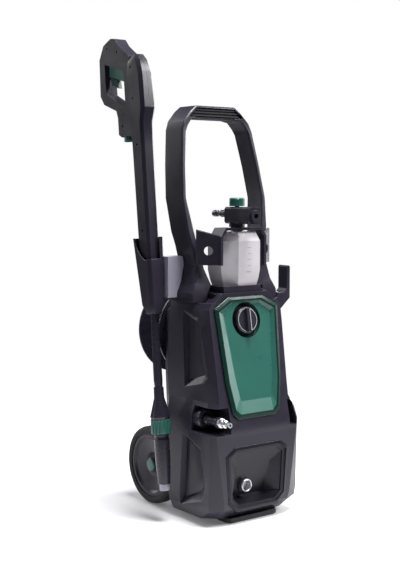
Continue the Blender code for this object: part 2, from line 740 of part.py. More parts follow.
def outlet_collar():
    place = (OUTLET_X, 0, OUTLET_Z)
    profile = [(14.6, -28), (14.6, -34.4), (21.5, -34.4), (21.5, -52), (19.5, -56), (12.6, -56), (12.6, -28)]
    return finish(revolve("outlet_collar", profile, place, (0, 1, 0), 24), "black", angle=30)


def outlet_coupling():
    place = (OUTLET_X, 0, OUTLET_Z)
    profile = [(0, -20), (12.2, -20), (12.2, -66), (10, -68), (10, -92), (11.5, -94), (11.5, -100), (0, -100)]
    obj = revolve("outlet_coupling", profile, place, (0, 1, 0), 20)
    cut(obj, disc("seat", place, (0, 1, 0), 6 + GAP, -110, -84, 20))
    return finish(obj, "black", angle=30)


def outlet_nipple():
    place = (OUTLET_X, 0, OUTLET_Z)
    profile = [(0, -85), (6, -85), (6, -101), (10.5, -103), (10.5, -108), (6.5, -110), (6.5, -114)]
    profile += [(8.5, -116), (8.5, -121), (5.5, -123), (5.5, -136), (2.6, -136), (2.6, -90), (0, -90)]
    return finish(revolve("outlet_nipple", profile, place, (0, 1, 0), 16), "steel", angle=30)


def hose_drum():
    profile = [(0, 105 + GAP), (60, 105 + GAP), (60, 108.5), (DRUM_R, 108.5), (DRUM_R, 112.5), (52, 112.5)]
    profile += [(52, 184), (DRUM_R, 184), (DRUM_R, 188), (30, 188), (28, 185), (0, 185)]
    obj = revolve("hose_drum", profile, (0, 0, DRUM_Z), (0, 1, 0), 32)
    return finish(obj, "black", angle=30)


def cable_gland():
    profile = [(0, 92), (7.8, 92), (7.8, 105.6), (11.5, 105.6), (11.5, 110), (8.5, 112), (7, 124), (0, 124)]
    obj = revolve("cable_gland", profile, (52, 0, 215), (0, 1, 0), 14)
    return finish(obj, "rubber", angle=35)


# ---------------------------------------------------------------- wheels

def axle_carrier():
    rings = []
    for x in (-71, 71):
        pts = [(105 + GAP, 40), (128, 62), (152, 76), (156, 88), (152, 100), (138, 106), (105 + GAP, 128)]
        rings.append([(x, y, z) for y, z in pts])
    obj = loft("axle_carrier", rings)
    cut(obj, disc("bore", (0, WHEEL_Y, WHEEL_Z), (1, 0, 0), 6 + GAP, -90, 90, 24))
    cut(obj, box("lightening", (-50, 50), (112, 200), (92, 140)))
    return finish(obj, "black")


def axle():
    obj = disc("axle", (0, WHEEL_Y, WHEEL_Z), (1, 0, 0), 6, -101, 101, 24)
    return finish(obj, "steel", angle=35)


def wheel(side):
    name = "wheel_left" if side < 0 else "wheel_right"
    place = (0, WHEEL_Y, WHEEL_Z)
    axis = (side, 0, 0)
    profile = [(6 + GAP, 79), (14, 79), (16, 90), (50, 97), (62, 80), (71, 80), (71, 109), (64, 109)]
    profile += [(58, 104), (28, 98), (17, 102), (17, 104.5), (15.5, 104.5), (15.5, 101.5), (6 + GAP, 101.5)]
    obj = revolve(name, profile, place, axis, 28)
    return finish(obj, "anthracite", pivot=place, angle=30)


def tyre(side, parent):
    name = "tyre_left" if side < 0 else "tyre_right"
    place = (0, WHEEL_Y, WHEEL_Z)
    profile = [(71 + GAP, 79), (80, 78), (86, 81), (WHEEL_R, 86), (WHEEL_R, 104), (86, 109), (80, 113)]
    profile.append((71 + GAP, 111))
    obj = revolve(name, profile, place, (side, 0, 0), 32)
    return finish(obj, "rubber", parent=parent, angle=30)


def hub_cap(side, parent):
    name = "hub_cap_left" if side < 0 else "hub_cap_right"
    place = (0, WHEEL_Y, WHEEL_Z)
    profile = [(0, 102.2), (15, 102.2), (15, 107), (12.5, 109), (0, 109.5)]
    obj = revolve(name, profile, place, (side, 0, 0), 20)
    return finish(obj, "green", parent=parent, angle=35)


# ---------------------------------------------------------------- drive inside the body

def motor_can():
    centre = (0, MOTOR_Y, 0)
    profile = [(49, 300), (49, 403), (9, 403), (9, 400), (46, 400), (46, 303), (9, 303), (9, 300)]
    return finish(revolve("motor_can", profile, centre, (0, 0, 1), 24), "aluminium", angle=35)


def motor_shaft():
    centre = (0, MOTOR_Y, 0)
    profile = [(0, 262), (7, 262), (7, 312), (34, 312), (34, 391), (7, 391), (7, 430), (0, 430)]
    obj = revolve("motor_shaft", profile, centre, (0, 0, 1), 18)
    return finish(obj, "steel", pivot=(0, MOTOR_Y, 350), angle=35)


def cooling_fan(parent):
    centre = (0, MOTOR_Y, 0)
    obj = tube("cooling_fan", centre, (0, 0, 1), 13, 7 + GAP, 412, 428, 20)
    for i in range(6):
        t = math.pi / 3 * i
        blade = box("blade", (11, 36), (-2, 2), (413, 427))
        blade.data.transform(Matrix.Rotation(t, 4, "Z"))
        blade.data.transform(Matrix.Translation((0, MOTOR_Y * MM, 0)))
        join(obj, blade)
    return finish(obj, "black", parent=parent)


def wobble_plate(parent):
    top, low = [], []
    for i in range(20):
        t = 2 * math.pi * i / 20
        x, y = 38 * math.cos(t), 38 * math.sin(t)
        top.append((x, MOTOR_Y + y, 261.5))
        low.append((x, MOTOR_Y + y, 249 + 5 * math.cos(t)))
    return finish(loft("wobble_plate", [low, top]), "steel", parent=parent, angle=35)


def pump_body():
    centre = (0, MOTOR_Y, 0)
    obj = disc("pump_body", centre, (0, 0, 1), 44, 150, 212, 24)
    for i in range(3):
        t = 2 * math.pi * i / 3 + math.pi / 2
        place = (24 * math.cos(t), MOTOR_Y + 24 * math.sin(t), 0)
        cut(obj, disc("bore", place, (0, 0, 1), 8 + GAP, 170, 230, 16))
    return finish(obj, "aluminium", angle=35)


def piston(index):
    t = 2 * math.pi * index / 3 + math.pi / 2
    place = (24 * math.cos(t), MOTOR_Y + 24 * math.sin(t), 0)
    profile = [(0, 176), (8, 176), (8, 236), (11, 236), (11, 240), (0, 240)]
    return finish(revolve(f"piston_{index + 1}", profile, place, (0, 0, 1), 14), "steel", angle=35)


def pump_manifold():
    obj = box("pump_manifold", (-40, 40), (MOTOR_Y - 34, MOTOR_Y + 34), (98, 150 - GAP))
    cut(obj, disc("inlet_port", (INLET_X, -42, 0), (0, 0, 1), 6 + GAP, 90, 112, 18))
    return finish(obj, "aluminium")


def pressure_switch():
    obj = box("pressure_switch", (-36, -6), (MOTOR_Y + 34 + GAP, 42), (102, 146))
    return finish(obj, "black")


def inlet_pipe():
    obj = box("inlet_pipe", (INLET_X - 8, INLET_X + 8), (-50 + GAP, -30), (68, 98 - GAP))
    return finish(obj, "brass")


def outlet_pipe():
    obj = disc("outlet_pipe", (OUTLET_X, 0, OUTLET_Z), (0, 1, 0), 7, -19.6, 10, 18)
    join(obj, box("link", (-101, -50), (-6, 8), (216, 230)))
    return finish(obj, "brass")


def build():
    clear_scene()
    for make in (front_shell, rear_shell, front_panel, switch_knob, switch_box, inlet_bezel, inlet_coupling,
                 inlet_filter, base_foot, bottle_tray, handle_frame, grip_insert, bottle_bracket, foam_body,
                 holster, holster_bracket, cable_hook, outlet_collar, outlet_coupling, outlet_nipple,
                 hose_drum, cable_gland, axle_carrier, axle, motor_can, pump_body, pump_manifold,
                 pressure_switch, inlet_pipe, outlet_pipe):
        make()
    for make in (bottle, spray_ring, foam_tip, dosing_cap, suction_tube):
        make()
    gun = gun_shell_left()
    for make in (gun_shell_right, gun_trigger, trigger_lock, hose_release, hose_socket, gun_valve, gun_pipe,
                 lance_tube, nozzle_head, nozzle_ring, nozzle_barrel, nozzle_tip):
        make(gun)
    for side in (-1, 1):
        hub = wheel(side)
        tyre(side, hub)
        hub_cap(side, hub)
    shaft = motor_shaft()
    cooling_fan(shaft)
    wobble_plate(shaft)
    for index in range(3):
        piston(index)


build()
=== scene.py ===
"""Visual model of an upright electric pressure washer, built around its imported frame."""

import json
import math

import bpy
from mathutils import Matrix, Vector

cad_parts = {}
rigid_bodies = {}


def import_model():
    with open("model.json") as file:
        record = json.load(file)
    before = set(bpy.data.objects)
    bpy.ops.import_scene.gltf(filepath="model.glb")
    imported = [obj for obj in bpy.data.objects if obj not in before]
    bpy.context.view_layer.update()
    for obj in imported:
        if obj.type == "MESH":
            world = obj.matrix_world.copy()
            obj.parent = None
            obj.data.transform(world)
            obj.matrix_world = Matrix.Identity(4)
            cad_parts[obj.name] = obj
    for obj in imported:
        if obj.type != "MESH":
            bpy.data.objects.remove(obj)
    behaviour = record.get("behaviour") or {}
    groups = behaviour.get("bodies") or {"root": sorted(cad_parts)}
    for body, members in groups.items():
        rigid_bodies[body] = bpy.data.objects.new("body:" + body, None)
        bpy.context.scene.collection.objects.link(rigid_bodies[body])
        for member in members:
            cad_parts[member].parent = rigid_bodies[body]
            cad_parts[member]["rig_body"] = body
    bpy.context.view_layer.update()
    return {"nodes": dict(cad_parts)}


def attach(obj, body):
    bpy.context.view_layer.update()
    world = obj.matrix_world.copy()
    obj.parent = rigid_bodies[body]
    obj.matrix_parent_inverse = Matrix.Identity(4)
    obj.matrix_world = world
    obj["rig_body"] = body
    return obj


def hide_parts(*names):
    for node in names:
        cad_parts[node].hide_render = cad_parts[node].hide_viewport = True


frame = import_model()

bl_info = {
    "name": "Pressure Washer Looks",
    "version": (1, 0, 0),
    "blender": (4, 5, 0),
    "location": "3D View > Sidebar > Washer",
    "description": "Makes the visible pieces of an upright pressure washer",
    "category": "Object",
}

MM = 0.001
MIDDLE = Vector((0.015, -0.04643, 0.0))  # the body's own centre plane, on the floor
LEAN = math.radians(9.4)
GUN_FOOT = MIDDLE + Vector((-163.0, 2.7, 68.0)) * MM
GUN_UP = Vector((0.0, 0.0995, 0.99504))
GUN_BACK = Vector((0.0, 0.99504, -0.0995))
PANEL_Y, PANEL_Z = -74.5, 425.0  # the green panel's middle, in millimetres
KNOB_UP = 5.07  # the knob's axis above the panel's middle
WHEEL_RADIUS = 87.5
TREAD_MIDDLE = 95.0  # the tyre's middle, out from the centre plane
RING_RADIUS, RING_GROOVES = 21.6, 20  # the nozzle ring
CAP_RADIUS = 16.5
FINISHES = {}

LIGHTS = (  # name, place, width, power
    ("key", (2.1, -2.0, 2.7), 0.8, 120.0),
    ("right_strip", (2.6, -0.8, 0.9), 0.9, 15.0),
    ("left_strip", (-2.3, 1.5, 1.3), 0.3, 11.0),
    ("top", (0.1, -0.5, 3.0), 0.7, 150.0),
    ("back", (-0.4, 2.8, 1.6), 1.2, 35.0),
    ("back_right", (2.3, 1.6, 1.1), 1.4, 38.0),
)
LIGHTS_AIM = Vector((0.0, 0.0, 0.5))
CAMERA_SPOT = (-1.4745, -1.9291, 0.707)
CAMERA_TILT = math.atan(95.0 / 1100.0)  # how far it looks below level
CAMERA_TURN = math.radians(-37.0)


# ---------------------------------------------------------------- sizes and colours


class WasherColours(bpy.types.PropertyGroup):
    shell: bpy.props.FloatVectorProperty(
        name="Shell", description="Anthracite of the moulded shells", subtype="COLOR", size=3,
        default=(0.0165, 0.0140, 0.0245), min=0, max=1)
    black: bpy.props.FloatVectorProperty(
        name="Fittings", description="Near black of the small mouldings", subtype="COLOR", size=3,
        default=(0.0165, 0.0145, 0.0235), min=0, max=1)
    grey: bpy.props.FloatVectorProperty(
        name="Grey trim", description="Mid grey of brackets and rings", subtype="COLOR", size=3,
        default=(0.36, 0.345, 0.42), min=0, max=1)
    green: bpy.props.FloatVectorProperty(
        name="Green", description="Green of the panel, caps and trigger", subtype="COLOR", size=3,
        default=(0.020, 0.102, 0.080), min=0, max=1)
    bottle: bpy.props.FloatVectorProperty(
        name="Bottle", description="Milky white of the detergent bottle", subtype="COLOR", size=3,
        default=(0.56, 0.53, 0.56), min=0, max=1)
    rubber: bpy.props.FloatVectorProperty(
        name="Rubber", description="Black of the tyres, foot and grip", subtype="COLOR", size=3,
        default=(0.018, 0.018, 0.020), min=0, max=1)


class WasherSizes(bpy.types.PropertyGroup):
    shell_edge: bpy.props.FloatProperty(
        name="Shell edge", description="Rounding on the shells' edges", default=0.0022,
        min=0, max=0.01, unit="LENGTH")
    bottle_edge: bpy.props.FloatProperty(
        name="Bottle edge", description="Rounding on the blown bottle's edges", default=0.0055,
        min=0, max=0.008, unit="LENGTH")
    turned_edge: bpy.props.FloatProperty(
        name="Turned edge", description="Rounding on the turned pieces' edges", default=0.0006,
        min=0, max=0.003, unit="LENGTH")
    tread_depth: bpy.props.FloatProperty(
        name="Tread depth", description="Depth of the grooves in the tyres", default=0.0016,
        min=0, max=0.005, unit="LENGTH")
    cap_ribs: bpy.props.IntProperty(
        name="Cap ribs", description="Ribs round the dosing cap", default=20, min=6, max=60)
    camera_lens: bpy.props.FloatProperty(
        name="Lens", description="Focal length of the stage camera", default=69.47, min=10, max=300,
        unit="CAMERA")
    floor_size: bpy.props.FloatProperty(
        name="Floor", description="Width of the stage floor", default=3.6, min=1, unit="LENGTH")


# ---------------------------------------------------------------- finishes


def colours():
    return bpy.context.scene.washer_colours


def sizes():
    return bpy.context.scene.washer_sizes


def noise(tree, scale, detail, place, roughness=0.55):
    node = tree.nodes.new("ShaderNodeTexNoise")
    node.inputs["Scale"].default_value = scale
    node.inputs["Detail"].default_value = detail
    node.inputs["Roughness"].default_value = roughness
    tree.links.new(place, node.inputs["Vector"])
    return node.outputs["Fac"]


def span(tree, value, low, high, start=0.0, end=1.0):
    node = tree.nodes.new("ShaderNodeMapRange")
    node.inputs["From Min"].default_value = low
    node.inputs["From Max"].default_value = high
    node.inputs["To Min"].default_value = start
    node.inputs["To Max"].default_value = end
    tree.links.new(value, node.inputs["Value"])
    return node.outputs["Result"]


def mixed(tree, share, first, second):
    node = tree.nodes.new("ShaderNodeMix")
    node.data_type = "RGBA"
    tree.links.new(share, node.inputs["Factor"])
    for socket, colour in ((node.inputs["A"], first), (node.inputs["B"], second)):
        if isinstance(colour, bpy.types.NodeSocket):
            tree.links.new(colour, socket)
        else:
            socket.default_value = (*colour, 1.0)
    return node.outputs["Result"]


def shade(colour, by):
    return tuple(min(c * by, 1.0) for c in colour)


def new_finish(name):
    mat = bpy.data.materials.new(name)
    mat.use_nodes = True
    tree = mat.node_tree
    place = tree.nodes.new("ShaderNodeTexCoord").outputs["Object"]
    return mat, tree, tree.nodes["Principled BSDF"], place


def edge_mask(tree, radius):
    """1 along sharp edges and 0 on the flats, from how far a rounded normal leans off the face's."""
    rounded = tree.nodes.new("ShaderNodeBevel")
    rounded.samples = 8
    rounded.inputs["Radius"].default_value = radius
    geometry = tree.nodes.new("ShaderNodeNewGeometry")
    dot = tree.nodes.new("ShaderNodeVectorMath")
    dot.operation = "DOT_PRODUCT"
    tree.links.new(rounded.outputs["Normal"], dot.inputs[0])
    tree.links.new(geometry.outputs["Normal"], dot.inputs[1])
    return span(tree, dot.outputs["Value"], 0.985, 0.88)


def moulded(name, colour, rough, grain=0.0011, depth=0.00005, spread=0.10, coat=0.0, edge_highlight=0.5, rub=7.0,
             gloss=0.38):
    """Moulded plastic: fine grain, slow colour drift, handling marks, and a painted highlight that
    lightens the sharp edges.
    """
    mat, tree, shader, place = new_finish(name)
    drift = noise(tree, 7.0, 3.0, place)
    cloud = mixed(tree, span(tree, drift, 0.3, 0.7), shade(colour, 1 - spread), shade(colour, 1 + spread))
    # painted highlight: the sharp edges are lightened towards a brighter copy of the colour, broken up by
    # noise
    highlight_breakup = noise(tree, 45.0, 5.0, place, 0.7)
    highlight_share = tree.nodes.new("ShaderNodeMath")
    highlight_share.operation = "MULTIPLY"
    tree.links.new(edge_mask(tree, 0.0012), highlight_share.inputs[0])
    tree.links.new(span(tree, highlight_breakup, 0.35, 0.65, 0.25 * edge_highlight, edge_highlight), highlight_share.inputs[1])
    tree.links.new(mixed(tree, highlight_share.outputs["Value"], cloud, shade(colour, rub)),
                   shader.inputs["Base Color"])
    handled = noise(tree, 22.0, 6.0, place, 0.65)
    tree.links.new(span(tree, handled, 0.3, 0.7, rough - 0.05, rough + 0.06), shader.inputs["Roughness"])
    bump = tree.nodes.new("ShaderNodeBump")
    bump.inputs["Strength"].default_value = 0.55
    bump.inputs["Distance"].default_value = depth
    tree.links.new(noise(tree, 1.0 / grain, 2.0, place), bump.inputs["Height"])
    tree.links.new(bump.outputs["Normal"], shader.inputs["Normal"])
    shader.inputs["Specular IOR Level"].default_value = gloss
    shader.inputs["Coat Weight"].default_value = coat
    shader.inputs["Coat Roughness"].default_value = 0.18
    return mat


def metal(name, colour, rough):
    """Turned or drawn metal: fine tool lines, faint stains and a soft sheen."""
    mat, tree, shader, place = new_finish(name)
    lines = noise(tree, 900.0, 3.0, place)
    stain = noise(tree, 30.0, 5.0, place)
    tree.links.new(mixed(tree, span(tree, stain, 0.35, 0.7), colour, shade(colour, 0.72)),
                   shader.inputs["Base Color"])
    tree.links.new(span(tree, lines, 0.3, 0.7, rough - 0.06, rough + 0.1), shader.inputs["Roughness"])
    bump = tree.nodes.new("ShaderNodeBump")
    bump.inputs["Strength"].default_value = 0.35
    bump.inputs["Distance"].default_value = 0.00003
    tree.links.new(lines, bump.inputs["Height"])
    tree.links.new(bump.outputs["Normal"], shader.inputs["Normal"])
    shader.inputs["Metallic"].default_value = 1.0
    return mat


def milky(name, colour):
    """Translucent blow-moulded bottle: light passes into the wall, with faint flow marks."""
    mat, tree, shader, place = new_finish(name)
    flow = noise(tree, 16.0, 4.0, place)
    tree.links.new(mixed(tree, span(tree, flow, 0.3, 0.75), colour, shade(colour, 0.9)),
                   shader.inputs["Base Color"])
    tree.links.new(span(tree, noise(tree, 60.0, 4.0, place), 0.3, 0.7, 0.3, 0.42),
                   shader.inputs["Roughness"])
    bump = tree.nodes.new("ShaderNodeBump")
    bump.inputs["Strength"].default_value = 0.3
    bump.inputs["Distance"].default_value = 0.0003
    tree.links.new(flow, bump.inputs["Height"])
    tree.links.new(bump.outputs["Normal"], shader.inputs["Normal"])
    shader.inputs["Subsurface Weight"].default_value = 0.35
    shader.inputs["Subsurface Radius"].default_value = (0.012, 0.011, 0.011)
    return mat


def make_finishes():
    c = colours()
    FINISHES["shell"] = moulded("anthracite_shell", tuple(c.shell), 0.34, edge_highlight=0.65)
    FINISHES["gun"] = moulded("anthracite_gun", shade(tuple(c.shell), 0.8), 0.32, edge_highlight=0.6)
    FINISHES["black"] = moulded("black_moulding", tuple(c.black), 0.28, grain=0.0022, depth=0.00003,
                                edge_highlight=0.4, gloss=0.5)
    FINISHES["bezel"] = moulded("bezel_moulding", shade(tuple(c.shell), 0.5), 0.3, grain=0.0025,
                                depth=0.00002, edge_highlight=0.6, rub=9.0, gloss=0.25)
    FINISHES["grey"] = moulded("grey_trim", tuple(c.grey), 0.4, edge_highlight=0.2, rub=1.6)
    FINISHES["green"] = moulded("green_gloss", tuple(c.green), 0.3, grain=0.0012, depth=0.00003,
                                spread=0.07, coat=0.25, edge_highlight=0.3, rub=3.0)
    # a darker green for the panel's rim, also laid in the knob's well as painted shade
    FINISHES["green_rim"] = moulded("green_rim", shade(tuple(c.green), 0.20), 0.3, grain=0.0012,
                                    depth=0.00003, spread=0.07, edge_highlight=0.35, rub=2.5, gloss=0.22)
    FINISHES["green_dark"] = moulded("green_lock", shade(tuple(c.green), 0.55), 0.34, edge_highlight=0.2)
    FINISHES["rubber"] = moulded("tyre_rubber", tuple(c.rubber), 0.72, grain=0.0016, depth=0.00012,
                                 spread=0.2, edge_highlight=0.25)
    FINISHES["bottle"] = milky("milky_bottle", tuple(c.bottle))
    FINISHES["hose"] = milky("clear_tube", (0.5, 0.52, 0.55))
    FINISHES["steel"] = metal("turned_steel", (0.66, 0.66, 0.68), 0.26)
    FINISHES["brass"] = metal("turned_brass", (0.72, 0.53, 0.26), 0.3)
    FINISHES["aluminium"] = metal("cast_aluminium", (0.6, 0.61, 0.63), 0.38)
    FINISHES["level"] = moulded("level_mark", (0.30, 0.28, 0.33), 0.5, edge_highlight=0.0)
    FINISHES["mark"] = moulded("light_mark", (0.42, 0.43, 0.45), 0.45, edge_highlight=0.0)


# ---------------------------------------------------------------- workshop


def put_down():
    """Leaves nothing selected and no piece open."""
    if bpy.context.object and bpy.context.object.mode != "OBJECT":
        bpy.ops.object.mode_set(mode="OBJECT")
    bpy.ops.object.select_all(action="DESELECT")


def pick_up(obj):
    put_down()
    bpy.context.view_layer.objects.active = obj
    obj.select_set(True)


def open_mesh(obj, mode="VERT"):
    pick_up(obj)
    bpy.ops.object.mode_set(mode="EDIT")
    bpy.ops.mesh.select_mode(type=mode)
    bpy.ops.mesh.select_all(action="DESELECT")


def select(obj, kind, test):
    """Selects the vertices, edges or faces of an open mesh that pass a test."""
    bpy.ops.object.mode_set(mode="OBJECT")
    for item in getattr(obj.data, kind):
        item.select = bool(test(item))
    bpy.ops.object.mode_set(mode="EDIT")


def apply_all(obj):
    pick_up(obj)
    for name in [m.name for m in obj.modifiers]:
        bpy.ops.object.modifier_apply(modifier=name)


def smooth(obj, angle=38):
    pick_up(obj)
    bpy.ops.object.shade_smooth_by_angle(angle=math.radians(angle))
    even = obj.modifiers.new("even", "WEIGHTED_NORMAL")
    even.keep_sharp = True
    bpy.ops.object.modifier_apply(modifier="even")


def round_edges(obj, width, angle=22, segments=2):
    """Rounds every edge sharper than an angle, first broadly where there is room and then finely."""
    for share in (1.0, 0.35):
        offset = width * share
        open_mesh(obj, "EDGE")
        bpy.ops.mesh.edges_select_sharp(sharpness=math.radians(angle))
        bpy.ops.object.mode_set(mode="OBJECT")
        points = [v.co for v in obj.data.vertices]
        crowded = set()
        for edge in obj.data.edges:
            a, b = edge.vertices
            if (points[a] - points[b]).length < 2.3 * offset:
                crowded.update((a, b))
        for edge in obj.data.edges:
            if crowded.intersection(edge.vertices):
                edge.select = False
        bpy.ops.object.mode_set(mode="EDIT")
        bpy.ops.mesh.bevel(offset=offset, segments=segments, profile=0.5, clamp_overlap=True,
                           affect="EDGES")
        bpy.ops.object.mode_set(mode="OBJECT")


def cleaned_copy(node):
    """A copy of a frame solid with its loose triangles merged back into whole faces."""
    obj = bpy.data.objects.new(node + "_skin", frame["nodes"][node].data.copy())
    bpy.context.scene.collection.objects.link(obj)
    obj.data.materials.clear()
    pick_up(obj)
    bpy.ops.mesh.customdata_custom_splitnormals_clear()
    open_mesh(obj)
    bpy.ops.mesh.select_all(action="SELECT")
    bpy.ops.mesh.remove_doubles(threshold=0.00002)
    bpy.ops.mesh.dissolve_limited(angle_limit=math.radians(0.8))
    bpy.ops.object.mode_set(mode="OBJECT")
    return obj


def fit(obj, finish, body, node=None, slot=None):
    """Gives a piece its finish and its body, and hides the frame node it stands for."""
    obj.data.materials.clear()
    obj.data.materials.append(FINISHES[finish])
    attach(obj, body)
    if node:
        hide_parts(node)
    slot or node
    return obj


def body_of(node):
    return frame["nodes"][node]["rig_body"]


def skin(node, finish, width=None, angle=22):
    """A piece that is its frame solid with rounded edges."""
    obj = cleaned_copy(node)
    round_edges(obj, sizes().shell_edge if width is None else width, angle)
    smooth(obj)
    return fit(obj, finish, body_of(node), node)


def turned(name, profile, centre, axis, steps=48):
    """A turned piece: a half outline in millimetres, radius and height, spun about an axis."""
    put_down()
    bpy.ops.mesh.primitive_circle_add(vertices=len(profile), radius=0.01, fill_type="NOTHING")
    obj = bpy.context.object
    obj.name = name
    for vertex, (r, h) in zip(obj.data.vertices, profile):
        vertex.co = (r * MM, 0.0, h * MM)
    open_mesh(obj, "EDGE")
    if profile[0][0] < 0.01 and profile[-1][0] < 0.01:
        ends = {0, len(profile) - 1}
        select(obj, "edges", lambda e: set(e.vertices) == ends)
        bpy.ops.mesh.delete(type="EDGE")
    bpy.ops.mesh.select_all(action="SELECT")
    bpy.ops.mesh.spin(steps=steps, angle=2 * math.pi, center=(0, 0, 0), axis=(0, 0, 1))
    bpy.ops.mesh.select_all(action="SELECT")
    bpy.ops.mesh.remove_doubles(threshold=0.000002)
    bpy.ops.mesh.normals_make_consistent(inside=False)
    bpy.ops.object.mode_set(mode="OBJECT")
    turn = Vector((0, 0, 1)).rotation_difference(Vector(axis).normalized())
    obj.matrix_world = Matrix.Translation(centre) @ turn.to_matrix().to_4x4()
    bpy.ops.object.transform_apply(location=True, rotation=True, scale=True)
    return obj


def turned_part(node, finish, profile, centre, axis, steps=48, edge=None):
    obj = turned(node + "_turned", profile, centre, axis, steps)
    rim = obj.modifiers.new("rim", "BEVEL")
    rim.width = sizes().turned_edge if edge is None else edge
    rim.segments = 2
    rim.limit_method = "ANGLE"
    rim.angle_limit = math.radians(24)
    apply_all(obj)
    smooth(obj)
    return fit(obj, finish, body_of(node), node)


def lofted(name, rings):
    """A closed piece through rings of points, each extruded from the one before it."""
    put_down()
    bpy.ops.mesh.primitive_circle_add(vertices=len(rings[0]), radius=1.0, fill_type="NGON")
    obj = bpy.context.object
    obj.name = name
    for vertex, point in zip(obj.data.vertices, rings[0]):
        vertex.co = point
    open_mesh(obj, "FACE")
    bpy.ops.mesh.select_all(action="SELECT")
    for before, after in zip(rings, rings[1:]):
        bpy.ops.mesh.extrude_region_move(TRANSFORM_OT_translate={"value": (0, 0, 0)})
        bpy.ops.object.mode_set(mode="OBJECT")
        for vertex in obj.data.vertices:
            if vertex.select:
                near = min(range(len(before)), key=lambda i: (before[i] - vertex.co).length)
                vertex.co = after[near]
        bpy.ops.object.mode_set(mode="EDIT")
    bpy.ops.mesh.select_all(action="SELECT")
    bpy.ops.mesh.normals_make_consistent(inside=False)
    bpy.ops.object.mode_set(mode="OBJECT")
    return obj


def cut(obj, tool, how="DIFFERENCE"):
    """Cuts a piece with a tool, or joins the tool to it, and puts the tool away."""
    pick_up(obj)
    step = obj.modifiers.new("step", "BOOLEAN")
    step.operation = how
    step.object = tool
    bpy.ops.object.modifier_apply(modifier="step")
    bpy.data.objects.remove(tool, do_unlink=True)
    return obj


def at(x, y, z):
    return MIDDLE + Vector((x, y, z)) * MM


def gun_at(x, back, up):
    return GUN_FOOT + Vector((x * MM, 0, 0)) + GUN_BACK * (back * MM) + GUN_UP * (up * MM)


def on_panel(across, up, out):
    """A point on the leaning green panel, from its middle, in millimetres."""
    y = PANEL_Y + up * math.sin(LEAN) - out * math.cos(LEAN)
    z = PANEL_Z + up * math.cos(LEAN) + out * math.sin(LEAN)
    return at(across, y, z)


def bar(name, centre, size, frame_axes=None):
    """A small bar with rounded edges, on its own three axes."""
    put_down()
    bpy.ops.mesh.primitive_cube_add(size=1.0)
    obj = bpy.context.object
    obj.name = name
    axes = frame_axes or (Vector((1, 0, 0)), Vector((0, 1, 0)), Vector((0, 0, 1)))
    turn = Matrix([axes[0], axes[1], axes[2]]).transposed().to_4x4()
    scale = Matrix.Diagonal((*(s * MM for s in size), 1.0))
    obj.matrix_world = Matrix.Translation(centre) @ turn @ scale
    bpy.ops.object.transform_apply(location=True, rotation=True, scale=True)
    edge = obj.modifiers.new("edge", "BEVEL")
    edge.width = min(size) * MM * 0.22
    edge.segments = 2
    apply_all(obj)
    smooth(obj)
    return obj


# ---------------------------------------------------------------- pieces


class WASHER_OT_shells(bpy.types.Operator):
    """Make the front and rear body shells"""

    bl_idname = "washer.shells"
    bl_label = "Body shells"

    def execute(self, context):
        skin("front_shell", "shell")
        skin("rear_shell", "shell")
        skin("base_foot", "rubber", 0.0008)
        return {"FINISHED"}


# the panel's half outlines, across and up, on the right; its dish slopes more gently on the left
PANEL_OUT = [(47, 56), (87, 33), (76, -124), (65, -190), (50, -203)]
PANEL_BACK = [(43, 52), (83, 29), (72, -120), (61, -186), (46, -199)]
PANEL_IN = [(41, 49), (79, 28.5), (69, -124), (59, -184), (47, -195)]
DISH_RIM = [(39, 46.5), (76.5, 26.5), (66.5, -124), (56.5, -181.5), (45, -192.5)]
DISH_FLOOR = [(36, 41), (68, 22), (56, -112), (49, -158), (46, -165)]
DISH_FLOOR_LEFT = [(35, 41), (61, 20), (46, -112), (38, -158), (35, -165)]


def whole(right, left):
    return right + [(-x, y) for x, y in reversed(left)]


def panel_axes():
    """The panel's own axes: across, up and out of its face."""
    middle = on_panel(0, 0, 0)
    up, out = on_panel(0, 1, 0) - middle, on_panel(0, 0, 1) - middle
    return Vector((1, 0, 0)), up.normalized(), out.normalized()


def knob_tools():
    """The cutters for the round well about the knob and the bore behind it."""
    centre = on_panel(0, KNOB_UP, 0)
    normal = panel_axes()[2]
    well = [(0, -12.6), (31, -12.6), (38, -6), (39.5, 12), (0, 12)]
    yield turned("knob_well", well, centre, normal, 64)
    yield turned("knob_bore", [(0, -22), (6.5, -22), (6.5, 0), (0, 0)], centre, normal, 32)


class WASHER_OT_front_panel(bpy.types.Operator):
    """Make the green front panel"""

    bl_idname = "washer.front_panel"
    bl_label = "Front panel"

    def execute(self, context):
        rings = [[on_panel(u, v, n) for u, v in whole(half, left)] for half, left, n in (
            (PANEL_BACK, PANEL_BACK, -16), (PANEL_OUT, PANEL_OUT, -9), (PANEL_OUT, PANEL_OUT, 3),
            (PANEL_IN, PANEL_IN, 5), (DISH_RIM, DISH_RIM, 4.4), (DISH_FLOOR, DISH_FLOOR_LEFT, -2.6))]
        obj = lofted("front_panel_plate", rings)
        round_edges(obj, 0.0011, 8)
        for tool in list(knob_tools()):
            cut(obj, tool)
        smooth(obj, 30)
        fit(obj, "green_rim", "washer", "front_panel")
        obj.data.materials.append(FINISHES["green"])
        middle = on_panel(0, 0, 0)
        normal = panel_axes()[2]
        for face in obj.data.polygons:  # the dish gets the lighter green; the rim round it gets the darker green, which also fills the knob's well as painted shade in the recess
            height = (face.center - middle).dot(normal) / MM
            if -3.2 < height < 2.9 and face.normal.dot(normal) > 0.5:
                face.material_index = 1
        return {"FINISHED"}


